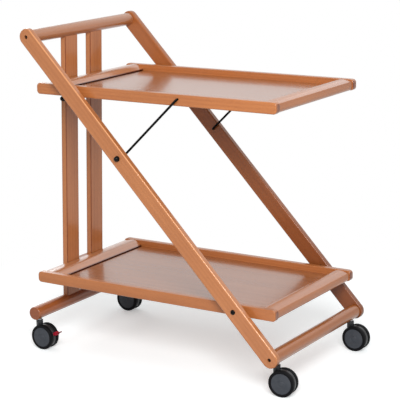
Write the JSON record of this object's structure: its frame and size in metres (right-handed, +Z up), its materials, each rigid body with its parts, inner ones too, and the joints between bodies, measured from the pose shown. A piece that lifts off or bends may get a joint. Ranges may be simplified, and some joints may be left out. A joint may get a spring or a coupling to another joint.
{
  "type": "folding serving trolley",
  "caption": "Folding wooden serving trolley with tray shelves on slanted legs and a slatted rear frame, steel stays and twin-wheel casters with brakes.",
  "frame": {"origin": "on the floor, midway between the rear cross bar's back and the front wheels' front, in the middle plane", "axes": "+Z up, +X forward from the handle to the front casters, +Y to the left"},
  "size_m": [0.7804, 0.478, 0.8411],
  "materials": {
    "wood": "satin lacquer, reddish brown stain",
    "panel_wood": "satin lacquer, reddish brown stain",
    "black_steel": "satin black",
    "steel": "bright zinc",
    "black_plastic": "satin",
    "housing_plastic": "satin",
    "wheel_tread": "satin, with a dark grey hub disc",
    "red_plastic": "satin"
  },
  "bodies": {
    "rear_frame": {"handle_bar": "wood", "rear_cross_bar": "wood", "right_rear_slat": "wood", "left_rear_slat": "wood", "shelf_hinge_rod": "steel", "right_rod_cap_nut": "black_steel", "left_rod_cap_nut": "black_steel", "right_handle_screw": "black_steel", "left_handle_screw": "black_steel", "rear_right_caster_stem": "steel", "rear_left_caster_stem": "steel"},
    "front_frame": {"right_leg": "wood", "left_leg": "wood", "front_cross_bar": "wood", "right_foot_screw": "black_steel", "left_foot_screw": "black_steel", "right_shelf_pivot_bolt": "black_steel", "left_shelf_pivot_bolt": "black_steel", "right_shelf_pivot_spacer": "black_plastic", "left_shelf_pivot_spacer": "black_plastic", "front_right_caster_stem": "steel", "front_left_caster_stem": "steel"},
    "upper_shelf": {"upper_shelf_right_rail": "wood", "upper_shelf_left_rail": "wood", "upper_shelf_rear_rail": "wood", "upper_shelf_front_rail": "wood", "upper_shelf_panel": "panel_wood", "upper_shelf_hinge_block": "wood"},
    "shelf_slider": {"lower_shelf_slider": "wood"},
    "lower_shelf": {"lower_shelf_right_rail": "wood", "lower_shelf_left_rail": "wood", "lower_shelf_rear_rail": "wood", "lower_shelf_front_rail": "wood", "lower_shelf_panel": "panel_wood", "lower_shelf_hinge_pin": "steel"},
    "right_stay_rod": {"right_stay": "black_steel", "right_stay_cap_nut": "black_steel"},
    "left_stay_rod": {"left_stay": "black_steel", "left_stay_cap_nut": "black_steel"},
    "front_right_caster": {"front_right_caster_housing": "housing_plastic", "front_right_caster_axle": "steel"},
    "front_right_caster_outer": {"front_right_caster_right_wheel": "wheel_tread"},
    "front_right_caster_inner": {"front_right_caster_left_wheel": "wheel_tread"},
    "front_left_caster": {"front_left_caster_housing": "housing_plastic", "front_left_caster_axle": "steel"},
    "front_left_caster_inner": {"front_left_caster_right_wheel": "wheel_tread"},
    "front_left_caster_outer": {"front_left_caster_left_wheel": "wheel_tread"},
    "rear_right_caster": {"rear_right_caster_housing": "housing_plastic", "rear_right_caster_axle": "steel"},
    "rear_right_caster_outer": {"rear_right_caster_right_wheel": "wheel_tread"},
    "rear_right_caster_inner": {"rear_right_caster_left_wheel": "wheel_tread"},
    "rear_right_brake": {"rear_right_caster_brake_lever": "red_plastic"},
    "rear_left_caster": {"rear_left_caster_housing": "housing_plastic", "rear_left_caster_axle": "steel"},
    "rear_left_caster_inner": {"rear_left_caster_right_wheel": "wheel_tread"},
    "rear_left_caster_outer": {"rear_left_caster_left_wheel": "wheel_tread"},
    "rear_left_brake": {"rear_left_caster_brake_lever": "red_plastic"}
  },
  "joints": [
    {"name": "fold", "type": "hinge", "parent": "rear_frame", "child": "front_frame", "pos_m": [-0.34694, 0, 0.82], "axis": [0, 1, 0], "range_deg": [0, 38.5]},
    {"name": "upper_shelf_fold", "type": "hinge", "parent": "rear_frame", "child": "upper_shelf", "pos_m": [-0.35325, 0, 0.6445], "axis": [0, 1, 0], "range_deg": [0, 83.2]},
    {"name": "slider_rise", "type": "slide", "parent": "rear_frame", "child": "shelf_slider", "axis": [0.0359, 0, 0.9994], "range_m": [0, 0.365]},
    {"name": "lower_shelf_fold", "type": "hinge", "parent": "shelf_slider", "child": "lower_shelf", "pos_m": [-0.35046, 0, 0.1917], "axis": [0, 1, 0], "range_deg": [0, 84.5]},
    {"name": "right_stay_fold", "type": "hinge", "parent": "front_frame", "child": "right_stay_rod", "pos_m": [-0.07991, -0.2285, 0.5385], "axis": [0, 1, 0], "range_deg": [0, 79.8]},
    {"name": "left_stay_fold", "type": "hinge", "parent": "front_frame", "child": "left_stay_rod", "pos_m": [-0.07991, 0.2285, 0.5385], "axis": [0, 1, 0], "range_deg": [0, 79.8]},
    {"name": "front_right_swivel", "type": "hinge", "parent": "front_frame", "child": "front_right_caster", "pos_m": [0.33956, -0.192, 0.077], "axis": [0, 0, 1], "continuous": true},
    {"name": "front_right_outer_spin", "type": "hinge", "parent": "front_right_caster", "child": "front_right_caster_outer", "pos_m": [0.35597, -0.19027, 0.033], "axis": [-0.1045, 0.9945, 0], "continuous": true},
    {"name": "front_right_inner_spin", "type": "hinge", "parent": "front_right_caster", "child": "front_right_caster_inner", "pos_m": [0.35597, -0.19027, 0.033], "axis": [-0.1045, 0.9945, 0], "continuous": true},
    {"name": "front_left_swivel", "type": "hinge", "parent": "front_frame", "child": "front_left_caster", "pos_m": [0.33956, 0.192, 0.077], "axis": [0, 0, 1], "continuous": true},
    {"name": "front_left_inner_spin", "type": "hinge", "parent": "front_left_caster", "child": "front_left_caster_inner", "pos_m": [0.35606, 0.192, 0.033], "axis": [0, 1, 0], "continuous": true},
    {"name": "front_left_outer_spin", "type": "hinge", "parent": "front_left_caster", "child": "front_left_caster_outer", "pos_m": [0.35606, 0.192, 0.033], "axis": [0, 1, 0], "continuous": true},
    {"name": "rear_right_swivel", "type": "hinge", "parent": "rear_frame", "child": "rear_right_caster", "pos_m": [-0.37294, -0.192, 0.077], "axis": [0, 0, 1], "continuous": true},
    {"name": "rear_right_outer_spin", "type": "hinge", "parent": "rear_right_caster", "child": "rear_right_caster_outer", "pos_m": [-0.35644, -0.192, 0.033], "axis": [0, 1, 0], "continuous": true},
    {"name": "rear_right_inner_spin", "type": "hinge", "parent": "rear_right_caster", "child": "rear_right_caster_inner", "pos_m": [-0.35644, -0.192, 0.033], "axis": [0, 1, 0], "continuous": true},
    {"name": "rear_right_brake_press", "type": "hinge", "parent": "rear_right_caster", "child": "rear_right_brake", "pos_m": [-0.32966, -0.192, 0.04119], "axis": [0, 1, 0], "range_deg": [0, 25]},
    {"name": "rear_left_swivel", "type": "hinge", "parent": "rear_frame", "child": "rear_left_caster", "pos_m": [-0.37294, 0.192, 0.077], "axis": [0, 0, 1], "continuous": true},
    {"name": "rear_left_inner_spin", "type": "hinge", "parent": "rear_left_caster", "child": "rear_left_caster_inner", "pos_m": [-0.35644, 0.192, 0.033], "axis": [0, 1, 0], "continuous": true},
    {"name": "rear_left_outer_spin", "type": "hinge", "parent": "rear_left_caster", "child": "rear_left_caster_outer", "pos_m": [-0.35644, 0.192, 0.033], "axis": [0, 1, 0], "continuous": true},
    {"name": "rear_left_brake_press", "type": "hinge", "parent": "rear_left_caster", "child": "rear_left_brake", "pos_m": [-0.32966, 0.192, 0.04119], "axis": [0, 1, 0], "range_deg": [0, 25]}
  ],
  "couplings": [
    {"joint": "upper_shelf_fold", "follows": "fold", "ratio": 2.1588},
    {"joint": "slider_rise", "follows": "fold", "m_per_rad": 0.54319},
    {"joint": "lower_shelf_fold", "follows": "fold", "ratio": 2.1933},
    {"joint": "right_stay_fold", "follows": "fold", "ratio": 2.0709},
    {"joint": "left_stay_fold", "follows": "fold", "ratio": 2.0709}
  ]
}
